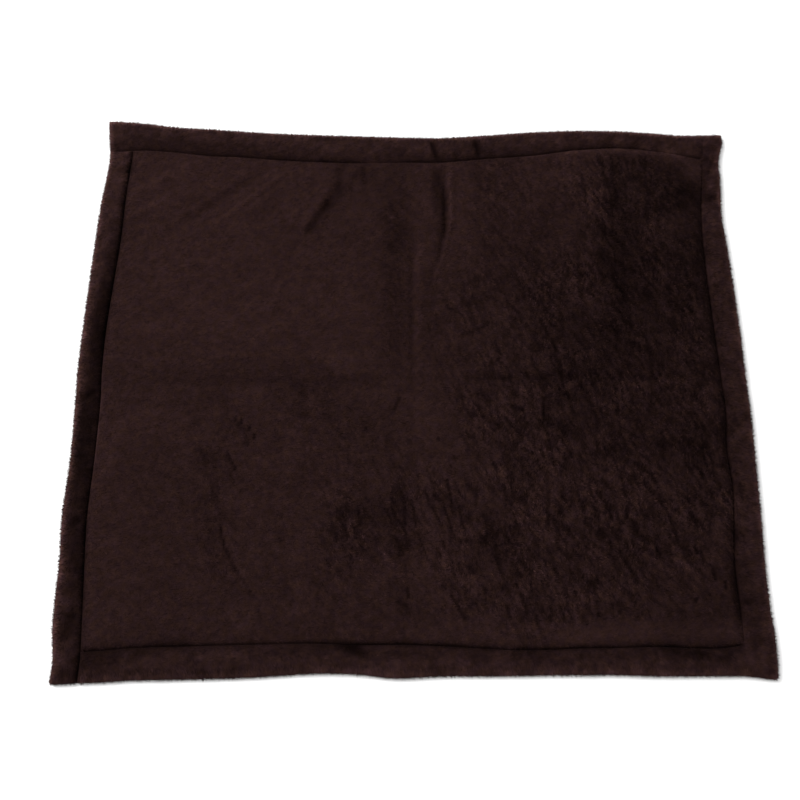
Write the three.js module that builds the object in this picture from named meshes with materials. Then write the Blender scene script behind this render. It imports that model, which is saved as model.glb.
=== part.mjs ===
// Cat scratching mat: one lightly padded plush mat, lying almost flat. A line of stitching
// about 25 mm inside the edge marks off a puffy border of the same cloth.
// Millimetres, +Z up. The width runs along X and the depth along Y. z = 0 is the surface
// that the mat lies on, and the origin is under the middle of the mat.

import * as THREE from 'three';

// Heights above the surface that the mat lies on
const PANEL_HEIGHT = 11.5; // top of the pile, away from the stitching
const BORDER_HEIGHT = 10.6; // crest of the puffed border
const RIM_HEIGHT = 4.2; // the edge, where the upper and lower cloth meet
const STITCH_HEIGHT = 4.4; // bottom of the sewn groove

// How the padding rounds off beside the edge and beside the stitching
const RIM_ROUNDING = 11;
const GROOVE_ON_BORDER = 12;
const GROOVE_ON_PANEL = 15;
const RUN_OUT_FADE = 3; // a stitch line that stops at another fades out over this
const FRONT_SHALLOWS = [5, 40]; // the right line deepens between these, in from the front line
const BACK_FADE = [-50, 80]; // and it fades out between these, measured in from the back line
const CORNER_RADIUS = 4;

// The lower edge turns under in steps: how far in from the rim, and how high
const UNDER_EDGE = [
  { inset: 1.2, height: 1.5 },
  { inset: 3.6, height: 0 },
];

// The even frame that the grid is laid out on before it takes the mat's true outline
const NOMINAL_EDGE = { x: 310, y: 272 };
const NOMINAL_STITCH = { x: 287, y: 246 };
const GRID_SPACING = 15;
const BORDER_STEPS = [0, 0.05, 0.18, 0.42, 0.7, 0.9]; // shares of the border's width
const PANEL_STEPS = [0, 2.5, 7.5]; // distances inside the stitching

// Each side as it lies. Along the side, measured from the middle of the mat, a row says how
// far out the edge and the stitch line are.
const LEFT_SIDE = [
  { along: -280, edge: 311, stitch: 286.5 },
  { along: -255, edge: 308, stitch: 285 },
  { along: -228, edge: 311, stitch: 286 },
  { along: -200, edge: 311.5, stitch: 287.4 },
  { along: -165, edge: 311.3, stitch: 289.3 },
  { along: -128, edge: 313, stitch: 290.6 },
  { along: -75, edge: 311, stitch: 289 },
  { along: -20, edge: 311.6, stitch: 288.6 },
  { along: 10, edge: 312.5, stitch: 290 },
  { along: 55, edge: 311.6, stitch: 289.6 },
  { along: 145, edge: 308.5, stitch: 284 },
  { along: 190, edge: 306.4, stitch: 283 },
  { along: 222, edge: 303.2, stitch: 281.3 },
  { along: 240, edge: 302.6, stitch: 280.2 },
  { along: 280, edge: 308.5, stitch: 280.4 },
];
const RIGHT_SIDE = [
  { along: -276, edge: 309.8, stitch: 281 },
  { along: -245, edge: 311, stitch: 282.4 },
  { along: -212, edge: 309.5, stitch: 282.8 },
  { along: -175, edge: 309.3, stitch: 282 },
  { along: -130, edge: 310.5, stitch: 285.8 },
  { along: -100, edge: 310.8, stitch: 287.4 },
  { along: -65, edge: 311.3, stitch: 285.7 },
  { along: -32, edge: 311.6, stitch: 287.5 },
  { along: 0, edge: 310.7, stitch: 286.5 },
  { along: 55, edge: 310, stitch: 284.5 },
  { along: 140, edge: 307, stitch: 282.2 },
  { along: 180, edge: 304.6, stitch: 284.2 },
  { along: 225, edge: 307.2, stitch: 288.6 },
  { along: 246, edge: 307.7, stitch: 290.6 },
  { along: 264, edge: 313.4, stitch: 292.6 },
];
const BACK_SIDE = [
  { along: -306, edge: 282.2, stitch: 246.2 },
  { along: -274, edge: 279, stitch: 247.3 },
  { along: -243, edge: 274.4, stitch: 244.8 },
  { along: -210, edge: 272, stitch: 240.7 },
  { along: -180, edge: 269.6, stitch: 239.5 },
  { along: -130, edge: 266.5, stitch: 235.2 },
  { along: -60, edge: 264, stitch: 232.5 },
  { along: -10, edge: 262.4, stitch: 233.2 },
  { along: 24, edge: 262, stitch: 233.4 },
  { along: 68, edge: 265, stitch: 237.5 },
  { along: 120, edge: 268.8, stitch: 241.5 },
  { along: 160, edge: 270, stitch: 247.3 },
  { along: 204, edge: 269.6, stitch: 249.8 },
  { along: 240, edge: 267.2, stitch: 246.4 },
  { along: 260, edge: 265.2, stitch: 242.8 },
  { along: 288, edge: 265.2, stitch: 236.8 },
  { along: 313, edge: 266.4, stitch: 234.8 },
];
const FRONT_SIDE = [
  { along: -309, edge: 280, stitch: 253.6 },
  { along: -270, edge: 278.2, stitch: 251.3 },
  { along: -240, edge: 276.5, stitch: 249 },
  { along: -200, edge: 275.8, stitch: 247.8 },
  { along: -140, edge: 274, stitch: 246.2 },
  { along: -95, edge: 271.2, stitch: 245.2 },
  { along: -75, edge: 270.6, stitch: 245.6 },
  { along: -48, edge: 271.3, stitch: 246 },
  { along: -12, edge: 274.6, stitch: 245.5 },
  { along: 24, edge: 273, stitch: 246.6 },
  { along: 84, edge: 272.7, stitch: 250.2 },
  { along: 120, edge: 272, stitch: 249.5 },
  { along: 148, edge: 272, stitch: 248 },
  { along: 178, edge: 271.8, stitch: 249.1 },
  { along: 210, edge: 272.8, stitch: 248.2 },
  { along: 264, edge: 272.8, stitch: 247.9 },
  { along: 290, edge: 273, stitch: 244.4 },
  { along: 310, edge: 276.6, stitch: 243.2 },
];

// Fold lines, wrinkles and puckers as they lie. Each is soft and runs straight between its
// ends. halfWidth is measured across it. A depth over 0 is a trough, under 0 a ridge.
const FOLD_LINES = [
  { fromX: 1, fromY: 165, toX: 1, toY: -40, halfWidth: 10, depth: 1.2 },
  { fromX: 1, fromY: -20, toX: -5, toY: -240, halfWidth: 10, depth: 0.9 },
  { fromX: -286, fromY: -8, toX: 10, toY: -2, halfWidth: 10, depth: 1.1 },
  { fromX: -10, fromY: -2, toX: 286, toY: -1, halfWidth: 10, depth: 1 },
];
const WRINKLES = [
  { fromX: 27, fromY: 240, toX: 31, toY: 146, halfWidth: 9, depth: 2.6 },
  { fromX: 32, fromY: 172, toX: 17, toY: 86, halfWidth: 8, depth: 2 },
  { fromX: 42, fromY: 238, toX: 39, toY: 132, halfWidth: 8, depth: -1.4 },
  { fromX: -67, fromY: 240, toX: -73, toY: 184, halfWidth: 9, depth: 1.6 },
  { fromX: -70, fromY: 206, toX: -106, toY: 144, halfWidth: 9, depth: 2.4 },
  { fromX: -278, fromY: 196, toX: -210, toY: 234, halfWidth: 9, depth: -1 },
  { fromX: 262, fromY: 224, toX: 282, toY: 196, halfWidth: 9, depth: 1 },
];
const PUCKERS = [
  { fromX: 20, fromY: 262, toX: 27, toY: 232, halfWidth: 7, depth: 3 },
  { fromX: 63, fromY: 264, toX: 70, toY: 238, halfWidth: 7, depth: 3 },
  { fromX: -311, fromY: -27, toX: -289, toY: -12, halfWidth: 8, depth: 2.4 },
  { fromX: -308, fromY: -146, toX: -291, toY: -134, halfWidth: 8, depth: 2.4 },
  { fromX: -292, fromY: -214, toX: -297, toY: -250, halfWidth: 9, depth: 2.4 },
  { fromX: 304, fromY: 238, toX: 294, toY: 214, halfWidth: 8, depth: 2 },
  { fromX: 304, fromY: 194, toX: 289, toY: 186, halfWidth: 8, depth: 2 },
  { fromX: -66, fromY: -244, toX: -34, toY: -261, halfWidth: 9, depth: 2.6 },
];
const CREASES = [...FOLD_LINES, ...WRINKLES, ...PUCKERS];
const CREASE_TAPER = 0.3; // share of a crease's length over which each end fades

// Extra grid lines where creases need them
const EXTRA_COLUMNS = [-103, -95, -87, -79, -71, -8, 0, 8, 16, 22, 28, 34, 40, 46, 58, 64, 70];
const EXTRA_ROWS = [-242, -146, -138, -28, -20, -12, -4, 4, 190, 198, 216, 226];
const CLOSEST_LINES = 9; // an even grid line this near an extra one is left out

// The mat isn't quite level: long low swells of the filling
const SWELLS = [
  { lengthX: 310, lengthY: 420, shift: 0.6, height: 0.5 },
  { lengthX: 190, lengthY: -260, shift: 2.1, height: 0.4 },
  { lengthX: -120, lengthY: 150, shift: 4.4, height: 0.25 },
];

const PLUSH_COLOUR = 0x2b1d1b;

// The value of a column of a side's table at a place along that side, on a smooth curve
// through its rows.
function onSide(side, column, along) {
  const last = side.length - 1;
  const place = THREE.MathUtils.clamp(along, side[0].along, side[last].along);
  let i = 0;
  while (i < last - 1 && side[i + 1].along < place) i += 1;
  const slopeAt = (k) => {
    const before = side[Math.max(k - 1, 0)];
    const after = side[Math.min(k + 1, last)];
    return (after[column] - before[column]) / (after.along - before.along);
  };
  const span = side[i + 1].along - side[i].along;
  const t = (place - side[i].along) / span;
  const t2 = t * t;
  const t3 = t2 * t;
  return (
    (2 * t3 - 3 * t2 + 1) * side[i][column] +
    (t3 - 2 * t2 + t) * span * slopeAt(i) +
    (3 * t2 - 2 * t3) * side[i + 1][column] +
    (t3 - t2) * span * slopeAt(i + 1)
  );
}

// The four sides' edges and stitch lines beside a point of the nominal frame.
function sidesAt(p, q) {
  return {
    left: { edge: onSide(LEFT_SIDE, 'edge', q), stitch: onSide(LEFT_SIDE, 'stitch', q) },
    right: { edge: onSide(RIGHT_SIDE, 'edge', q), stitch: onSide(RIGHT_SIDE, 'stitch', q) },
    back: { edge: onSide(BACK_SIDE, 'edge', p), stitch: onSide(BACK_SIDE, 'stitch', p) },
    front: { edge: onSide(FRONT_SIDE, 'edge', p), stitch: onSide(FRONT_SIDE, 'stitch', p) },
  };
}

// Carries one nominal coordinate to its true place between the two sides that it lies
// between: evenly over the panel, and evenly over each border.
function between(value, edge, stitch, low, high) {
  if (value < -stitch) {
    return THREE.MathUtils.mapLinear(value, -edge, -stitch, -low.edge, -low.stitch);
  }
  if (value > stitch) {
    return THREE.MathUtils.mapLinear(value, stitch, edge, high.stitch, high.edge);
  }
  return THREE.MathUtils.mapLinear(value, -stitch, stitch, -low.stitch, high.stitch);
}

// Distances inward from the four edges, with the corners drawn in to a small radius.
function edgeDistances(x, y, sides) {
  const d = {
    left: x + sides.left.edge,
    right: sides.right.edge - x,
    back: sides.back.edge - y,
    front: y + sides.front.edge,
  };
  const sideways = d.left < d.right ? 'left' : 'right';
  const lengthways = d.front < d.back ? 'front' : 'back';
  const u = Math.max(0, 1 - d[sideways] / CORNER_RADIUS);
  const v = Math.max(0, 1 - d[lengthways] / CORNER_RADIUS);
  d[sideways] += CORNER_RADIUS * u * (1 - Math.sqrt(1 - (v * v) / 2));
  d[lengthways] += CORNER_RADIUS * v * (1 - Math.sqrt(1 - (u * u) / 2));
  return d;
}

// From 1 at a pinched line to 0 at the given distance, rounded as a puffed tube is.
function pinch(distance, radius) {
  const q = Math.max(0, 1 - Math.abs(distance) / radius);
  return 1 - Math.sqrt(1 - q * q);
}

// How far the stitching pulls the cloth down, from 0 to 1. The back line runs on to the
// left edge and the left line to the front edge. The right line is shallow near the front
// and fades out towards the back edge. The front line stops at the corners that it meets.
function stitchPull(x, y, sides) {
  const inside = {
    left: x + sides.left.stitch,
    right: sides.right.stitch - x,
    back: sides.back.stitch - y,
    front: y + sides.front.stitch,
  };
  const pull = (side) => {
    const radius = inside[side] < 0 ? GROOVE_ON_BORDER : GROOVE_ON_PANEL;
    return pinch(inside[side], radius);
  };
  const within = (side) => THREE.MathUtils.smoothstep(inside[side], -RUN_OUT_FADE, RUN_OUT_FADE);
  const fromFront = 0.5 + 0.5 * THREE.MathUtils.smoothstep(inside.front, ...FRONT_SHALLOWS);
  const fromBack = THREE.MathUtils.smoothstep(inside.back, ...BACK_FADE);
  return Math.max(
    pull('left') * within('back'),
    pull('back') * within('right'),
    pull('right') * within('front') * fromFront * fromBack,
    pull('front') * within('left') * within('right'),
  );
}

// How far a crease lowers the cloth at a point.
function creaseDepth(x, y, crease) {
  const runX = crease.toX - crease.fromX;
  const runY = crease.toY - crease.fromY;
  const length = Math.hypot(runX, runY);
  const along = ((x - crease.fromX) * runX + (y - crease.fromY) * runY) / length;
  const across = ((x - crease.fromX) * runY - (y - crease.fromY) * runX) / length;
  const taper = CREASE_TAPER * length;
  const outside = Math.max(0, taper - along, along - length + taper);
  const reach = Math.hypot(outside / taper, across / crease.halfWidth);
  return reach < 1 ? crease.depth * 0.5 * (1 + Math.cos(Math.PI * reach)) : 0;
}

function swell(x, y) {
  let height = 0;
  for (const wave of SWELLS) {
    const turns = x / wave.lengthX + y / wave.lengthY;
    height += wave.height * Math.sin(2 * Math.PI * turns + wave.shift);
  }
  return height;
}

// Height of the pile at a true place, with the distances in from the four edges.
function pileHeight(x, y, sides, d) {
  const nearest = Math.min(d.left, d.right, d.back, d.front);
  const overPanel = THREE.MathUtils.smoothstep(nearest, RIM_ROUNDING, 2 * GROOVE_ON_PANEL);
  let full = THREE.MathUtils.lerp(BORDER_HEIGHT, PANEL_HEIGHT, overPanel) + swell(x, y);
  for (const crease of CREASES) full -= creaseDepth(x, y, crease);
  let puff = 1;
  for (const distance of Object.values(d)) puff *= 1 - pinch(Math.max(distance, 0), RIM_ROUNDING);
  const open = RIM_HEIGHT + (full - RIM_HEIGHT) * puff;
  return open - (open - STITCH_HEIGHT) * stitchPull(x, y, sides);
}

// A point of the mat's upper face from its place in the nominal frame.
function matPoint(p, q) {
  const sides = sidesAt(p, q);
  const x = between(p, NOMINAL_EDGE.x, NOMINAL_STITCH.x, sides.left, sides.right);
  const y = between(q, NOMINAL_EDGE.y, NOMINAL_STITCH.y, sides.front, sides.back);
  const d = edgeDistances(x, y, sides);
  const trueX = d.left < d.right ? d.left - sides.left.edge : sides.right.edge - d.right;
  const trueY = d.front < d.back ? d.front - sides.front.edge : sides.back.edge - d.back;
  return new THREE.Vector3(trueX, trueY, pileHeight(trueX, trueY, sides, d));
}

// Grid lines from one nominal edge to the other: close together over the border and the
// rise beside the stitching, then even, with the extra lines that creases need.
function gridLines(edge, stitch, extra) {
  const half = [];
  for (const step of BORDER_STEPS) half.push(edge - step * (edge - stitch));
  for (const step of PANEL_STEPS) half.push(stitch - step);
  const start = stitch - PANEL_STEPS[PANEL_STEPS.length - 1];
  const count = Math.round((2 * start) / GRID_SPACING);
  const lines = [...half, ...half.map((value) => -value)];
  for (const value of extra) {
    if (Math.abs(value) < start) lines.push(value);
  }
  for (let i = 1; i < count; i += 1) {
    const value = -start + (2 * start * i) / count;
    if (extra.every((other) => Math.abs(other - value) > CLOSEST_LINES)) lines.push(value);
  }
  return lines.sort((a, b) => a - b);
}

// The closed solid: the upper face as a grid, the turned-under edge as rings, and one flat
// face underneath.
function matGeometry() {
  const columns = gridLines(NOMINAL_EDGE.x, NOMINAL_STITCH.x, EXTRA_COLUMNS);
  const rows = gridLines(NOMINAL_EDGE.y, NOMINAL_STITCH.y, EXTRA_ROWS);
  const points = [];
  for (const q of rows) {
    for (const p of columns) points.push(matPoint(p, q));
  }
  const faces = [];
  const quad = (a, b, c, d) => faces.push(a, b, c, a, c, d);
  const wide = columns.length;
  const deep = rows.length;
  for (let j = 0; j < deep - 1; j += 1) {
    for (let i = 0; i < wide - 1; i += 1) {
      const corner = j * wide + i;
      quad(corner, corner + 1, corner + wide + 1, corner + wide);
    }
  }

  let ring = [];
  for (let i = 0; i < wide - 1; i += 1) ring.push(i);
  for (let j = 0; j < deep - 1; j += 1) ring.push(j * wide + wide - 1);
  for (let i = wide - 1; i > 0; i -= 1) ring.push((deep - 1) * wide + i);
  for (let j = deep - 1; j > 0; j -= 1) ring.push(j * wide);
  const rim = ring.map((index) => points[index]);
  for (const { inset, height } of UNDER_EDGE) {
    const start = points.length;
    for (const point of rim) {
      const x = point.x * (1 - inset / NOMINAL_EDGE.x);
      const y = point.y * (1 - inset / NOMINAL_EDGE.y);
      points.push(new THREE.Vector3(x, y, height));
    }
    const next = rim.map((_, k) => start + k);
    for (let k = 0; k < rim.length; k += 1) {
      const after = (k + 1) % rim.length;
      quad(next[k], next[after], ring[after], ring[k]);
    }
    ring = next;
  }
  const outline = ring.map((index) => new THREE.Vector2(points[index].x, points[index].y));
  for (const [a, b, c] of THREE.ShapeUtils.triangulateShape(outline, [])) {
    faces.push(ring[a], ring[c], ring[b]);
  }

  const geometry = new THREE.BufferGeometry().setFromPoints(points);
  geometry.setIndex(faces);
  geometry.computeBoundingBox();
  const middle = geometry.boundingBox.getCenter(new THREE.Vector3());
  geometry.translate(-middle.x, -middle.y, 0);
  geometry.computeVertexNormals();
  return geometry;
}

function makeMat() {
  const plush = new THREE.MeshStandardMaterial({ color: PLUSH_COLOUR, roughness: 0.95, metalness: 0 });
  const mat = new THREE.Mesh(matGeometry(), plush);
  mat.name = 'mat';
  return mat;
}

const group = new THREE.Group();
group.add(makeMat());
export default group;
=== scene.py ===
import math

import bpy
import numpy as np
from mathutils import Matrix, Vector


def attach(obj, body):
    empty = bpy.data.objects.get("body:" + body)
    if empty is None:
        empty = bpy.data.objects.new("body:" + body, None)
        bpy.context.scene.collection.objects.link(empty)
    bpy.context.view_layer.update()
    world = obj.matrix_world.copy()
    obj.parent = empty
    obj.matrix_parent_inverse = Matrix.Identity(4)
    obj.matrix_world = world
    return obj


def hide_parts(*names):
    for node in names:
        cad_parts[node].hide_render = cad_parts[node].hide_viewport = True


MM = 0.001
RANDOM = np.random.default_rng(41)

# Heights above the floor
PANEL_HEIGHT = 0.0112
BORDER_HEIGHT = 0.0103
RIM_HEIGHT = 0.004
STITCH_HEIGHT = 0.0034

# How the padding rounds off beside the edge and beside the stitching
RIM_ROUNDING = 0.011
GROOVE_REACH = 0.012
RUN_OUT_FADE = 0.003  # over which a line that stops at another one fades out
FRONT_DEPTH = 0.5  # the right line's depth at the front line, as a share
FRONT_SHALLOWS = (0.005, 0.04)  # it deepens between these, in from the front line
BACK_FADE = (-0.05, 0.08)  # and fades out between these, in from the back line
CORNER_RADIUS = 0.0035
CLOTH_INSET = 0.0002  # how far inside the mat's outline the cloth under the pile lies

# The lower edge: how far in it lies and its height, from the seam's pinch over the lower puff
# to the floor
UNDER_EDGE = [(0.0008, 0.0034), (0.0002, 0.0025), (0.0011, 0.0009), (0.0035, 0)]

# The even frame of the grid, before it takes the mat's true outline
NOMINAL_EDGE = {"x": 0.31, "y": 0.272}
NOMINAL_STITCH = {"x": 0.287, "y": 0.246}
# Grid lines over each border, as shares of its width, and distances inside the stitching
BORDER_STEPS = [
    0, 0.03, 0.08, 0.15, 0.22, 0.3, 0.38, 0.46, 0.54, 0.62, 0.7, 0.78, 0.85, 0.91, 0.95, 0.98
]
PANEL_STEPS = [0, 0.0006, 0.0014, 0.0026, 0.0042, 0.0062]
SMOOTH_SPACING = 0.0026
RUFFLED_SPACING = 0.00155
ROW_SPACING = 0.00215
RUFFLES_START = -0.02  # the columns are closer to the right of this

TABLES_MIDDLE = (0.0002, 0.0012)  # the frame's origin in the tables below

# Each side as it lies: distance along the side, then how far out the edge and the stitch
# line are
LEFT_SIDE = [
    (-280, 311, 286.5),
    (-255, 308, 285),
    (-228, 311, 286),
    (-200, 311.5, 287.4),
    (-165, 311.3, 289.3),
    (-128, 313, 290.6),
    (-75, 311, 289),
    (-20, 311.6, 288.6),
    (10, 312.5, 290),
    (55, 311.6, 289.6),
    (145, 308.5, 284),
    (190, 306.4, 283),
    (222, 303.2, 281.3),
    (240, 302.6, 280.2),
    (280, 308.5, 280.4),
]
RIGHT_SIDE = [
    (-276, 309.8, 281),
    (-245, 311, 282.4),
    (-212, 309.5, 282.8),
    (-175, 309.3, 282),
    (-130, 310.5, 285.8),
    (-100, 310.8, 287.4),
    (-65, 311.3, 285.7),
    (-32, 311.6, 288.2),
    (0, 310.7, 287.2),
    (55, 310, 285.2),
    (140, 307, 282.9),
    (180, 304.6, 284.2),
    (225, 307.2, 288.6),
    (246, 307.7, 290.6),
    (264, 313.4, 292.6),
]
BACK_SIDE = [
    (-306, 282.2, 246.2),
    (-274, 279, 247.3),
    (-243, 274.4, 244.8),
    (-210, 272, 240.7),
    (-180, 269.6, 239.5),
    (-130, 266.5, 235.2),
    (-60, 264, 232.5),
    (-10, 262.4, 233.2),
    (24, 262, 233.4),
    (68, 265, 237.5),
    (120, 268.8, 241.5),
    (160, 270, 247.3),
    (204, 269.6, 249.8),
    (240, 267.2, 246.4),
    (260, 265.2, 242.8),
    (288, 265.2, 236.8),
    (313, 266.4, 234.8),
]
FRONT_SIDE = [
    (-309, 280, 253.6),
    (-270, 278.2, 251.3),
    (-240, 276.5, 249),
    (-200, 275.8, 247.8),
    (-140, 274, 246.2),
    (-95, 271.2, 245.2),
    (-75, 270.6, 245.6),
    (-48, 271.3, 246.7),
    (-12, 274.6, 246.2),
    (24, 273, 247.3),
    (84, 272.7, 250.6),
    (120, 272, 250.5),
    (148, 272, 249.3),
    (178, 271.8, 249.1),
    (210, 272.8, 248.2),
    (264, 272.8, 249.4),
    (290, 273, 246.2),
    (310, 276.6, 245),
]
SIDES = {"left": LEFT_SIDE, "right": RIGHT_SIDE, "back": BACK_SIDE, "front": FRONT_SIDE}

# Soft fold lines, wrinkles and puckers: from x and y, to x and y, half width, and depth,
# which is under 0 for a ridge
FOLD_LINES = [
    (1, 165, 1, -40, 7, 1.3),
    (8, 160, 7, -20, 9, -0.8),
    (1, -20, -5, -240, 9, 1),
    (-286, -8, 10, -2, 8, 1.1),
    (-95, 12, -12, 12, 12, -0.4),
    (-10, -2, 286, -1, 8, 1.1),
]
WRINKLES = [
    (27, 232, 29, 160, 11, 2.2),
    (33, 214, 33, 138, 5, 3.4),
    (33, 158, 26, 112, 5, 2),
    (26, 124, 17, 84, 7, 1.4),
    (38, 242, 38, 146, 6, -1),
    (36, 162, 27, 112, 5, -0.8),
    (31, 126, 16, 84, 5, -0.6),
    (-67, 240, -71, 186, 9, 2.4),
    (-68, 212, -86, 170, 9, 2.6),
    (-76, 196, -106, 142, 7, 3),
    (-96, 194, -122, 156, 8, -0.7),
    (-48, 230, -45, 196, 5, 1.6),
    (-285, 188, -204, 236, 7, -1.2),
    (-273, 181, -224, 209, 7, 0.8),
    (-274, 169, -228, 196, 7, -0.9),
    (-284, 158, -240, 178, 8, 0.6),
    (-250, 142, -130, 232, 9, 1.8),
    (-204, 150, -108, 232, 5, -1.2),
    (-160, 160, -128, 186, 9, 0.7),
    (256, 238, 282, 206, 6, -0.5),
    (226, 236, 262, 200, 7, 0.8),
    (262, 216, 284, 180, 6, 0.5),
]
PUCKERS = [
    (20, 260, 27, 232, 6, 4.2),
    (64, 264, 69, 235, 7, 4.8),
    (-311, -27, -289, -12, 6, 3),
    (-308, -146, -291, -134, 6, 3),
    (-292, -214, -297, -250, 8, 3.2),
    (304, 238, 294, 214, 6, 2),
    (304, 194, 289, 186, 6, 2.6),
    (-66, -244, -34, -261, 8, 3.4),
]
CREASE_TAPER = 0.3  # share of its length over which each end fades
CREASE_SHADE = 220  # halvings of the light for a metre of depth

# Long low swells of the filling: length along X and Y, shift and height
SWELLS = [
    (310, 420, 0.6, 0.5),
    (190, -260, 2.1, 0.4),
    (-120, 150, 4.4, 0.25),
]

# Dark partings of the pile, darkened with painted shade: from x and y, to x and y, half
# width, and halvings of the light, under 0 for a bright line, a painted highlight along a raised
# line
PARTINGS = [
    (-8, -113, -7, -147, 2.4, 0.5),
    (-19, -124, -13, -147, 2.4, 0.4),
    (-14, -136, -5, -153, 2.6, 0.7),
    (-25, -126, -17, -143, 2.4, 0.8),
    (-15, -152, -8, -172, 3, 0.8),
    (-5, -196, -4, -210, 2.4, 0.8),
    (0, -124, 3, -147, 1.8, 0.8),
    (3, -147, 15, -179, 1.5, 0.8),
    (10, -108, 16, -123, 2.6, 0.7),
    (16, -123, 27, -147, 1.9, 0.9),
    (19, -113, 25, -122, 2.6, 1),
    (27, -124, 39, -161, 2.1, 0.9),
    (30, -99, 33, -112, 2.6, 1),
    (33, -112, 35, -125, 2.2, 1.1),
    (39, -108, 45, -120, 1.8, 0.8),
    (40, -124, 46, -150, 1.8, 0.9),
    (41, -155, 43, -161, 1.8, 1),
    (48, -103, 59, -120, 3.4, 0.7),
    (26, -156, 28, -165, 2.2, 0.8),
    (61, -130, 74, -158, 4.5, 0.4),
    (61, -152, 66, -163, 2.6, 0.5),
    (66, -163, 74, -176, 2.6, 0.6),
    (80, -143, 85, -161, 1.8, 0.9),
    (80, -104, 85, -120, 3, 1.1),
    (81, -120, 90, -124, 2.2, 0.8),
    (48, -177, 53, -188, 3.8, 0.8),
    (72, -170, 79, -189, 3.6, 0.7),
    (85, -174, 95, -192, 3.6, 0.7),
    (87, -195, 92, -198, 2.6, 1.2),
    (24, -195, 29, -201, 2.2, 0.9),
    (31, -203, 46, -229, 2.6, 0.8),
    (43, -196, 48, -203, 2, 0.8),
    (80, -214, 84, -227, 2.6, 0.9),
    (92, -201, 99, -222, 2.2, 0.9),
    (105, -222, 107, -231, 2.6, 0.8),
    (117, -222, 119, -229, 2.6, 0.9),
    (117, -161, 122, -170, 2.6, 0.8),
    (121, -131, 127, -143, 3.2, 1),
    (122, -181, 126, -188, 2.6, 0.8),
    (-15, -210, -4, -216, 3.6, 0.7),
    (-10, -19, -18, -36, 2.8, 0.6),
    (58, -27, 67, -44, 2.8, 0.7),
    (69, -34, 80, -54, 2.6, 0.8),
    (90, -29, 103, -36, 3.4, 1),
    (86, -42, 101, -63, 2.2, 0.9),
    (99, -39, 106, -52, 2.6, 0.8),
    (121, -19, 119, -49, 2.2, 1.2),
    (48, -54, 53, -63, 2.8, 0.7),
    (36, -78, 41, -82, 2.6, 0.6),
    (23, -60, 24, -65, 2.8, 0.7),
    (96, -71, 111, -78, 2.6, 1),
    (80, -68, 93, -76, 2.4, 0.7),
    (101, -94, 110, -103, 2.6, 0.9),
    (141, -73, 143, -82, 4.2, 0.9),
    (158, -96, 163, -103, 2, 0.8),
    (168, -99, 177, -111, 2.4, 1),
    (187, -96, 190, -120, 2.2, 1),
    (191, -124, 189, -138, 2.8, 1),
    (194, -138, 200, -156, 3.8, 1),
    (207, -105, 216, -117, 2.2, 1),
    (216, -117, 227, -131, 2.2, 0.9),
    (227, -131, 233, -161, 2.6, 0.8),
    (164, -145, 169, -156, 6.5, 0.9),
    (172, -156, 175, -167, 2.8, 1.1),
    (175, -124, 176, -140, 2.8, 1.1),
    (185, -174, 193, -190, 3.2, 1),
    (199, -82, 209, -94, 4.6, 1),
    (212, -164, 218, -170, 3.8, 1),
    (233, -127, 237, -135, 2.8, 1),
    (244, -129, 252, -147, 2.6, 0.9),
    (264, -109, 269, -120, 2.4, 1),
    (259, -92, 261, -101, 2.8, 0.9),
    (246, -161, 249, -170, 2.8, 1),
    (252, -164, 254, -179, 2.4, 0.9),
    (235, -161, 243, -172, 2.8, 0.7),
    (248, -181, 254, -192, 2.4, 0.8),
    (261, -179, 263, -194, 2.8, 0.9),
    (271, -192, 271, -201, 2.4, 1.1),
    (243, -208, 245, -211, 3.8, 1.2),
    (256, -203, 257, -206, 2.8, 1),
    (158, -220, 161, -225, 2.8, 1),
    (176, -218, 179, -222, 3.2, 0.9),
    (148, -229, 150, -230, 2.4, 1),
    (45, 40, 60, 45, 3, 0.5),
    (60, 45, 74, 55, 3.6, 0.5),
    (29, 80, 38, 64, 3, 0.45),
    (14, 53, 18, 44, 2.6, 0.5),
    (38, 238, 37, 148, 5, -0.18),
    (36, 160, 22, 98, 4, -0.15),
    (119, 60, 130, 39, 2.4, 0.5),
    (130, 39, 137, 20, 2.4, 0.6),
    (137, 20, 139, -16, 2.6, 0.7),
    (139, -16, 148, -27, 2.6, 0.6),
    (123, 60, 134, 40, 2, -0.3),
    (145, 4, 147, -6, 3.2, 0.8),
    (105, 5, 108, -2, 3.2, 0.6),
    (185, 234, 192, 222, 3, 0.7),
    (198, 230, 208, 214, 3, 0.7),
    (121, -109, 120, -143, 3, 0.6),
    (148, 118, 159, 99, 2.6, -0.4),
    (120, 140, 136, 116, 2.4, -0.3),
    (-163, -40, -161, -46, 2.8, 0.8),
    (-157, -42, -156, -49, 2.4, 0.7),
    (-150, -49, -148, -55, 2.6, 0.7),
    (-144, -56, -144, -63, 3, 0.9),
    (-152, -64, -149, -69, 2.6, 0.7),
    (-168, -76, -158, -94, 2.4, 1),
    (-196, -60, -184, -96, 3.4, 0.22),
    (-180, -104, -172, -124, 3.8, 0.25),
    (-168, -128, -170, -150, 3, 0.25),
    (-171, -144, -164, -168, 2.4, 0.9),
    (-166, -162, -153, -186, 2.4, 0.65),
    (-156, -180, -138, -208, 2.6, 0.4),
    (-64, -124, -57, -158, 2.8, 0.8),
    (-50, -126, -44, -146, 2.4, 0.4),
    (-74, -130, -69, -150, 2.4, 0.4),
    (-56, -168, -52, -178, 2.8, 0.5),
    (-38, -132, -33, -146, 2.4, 0.5),
]
PARTING_TAPER = 0.15
PARTING_SHADE = 1.8  # the tufts cover about half of a parting's darkness
PARTING_DEPTH = 0.0009  # of a parting that halves the light once
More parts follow.
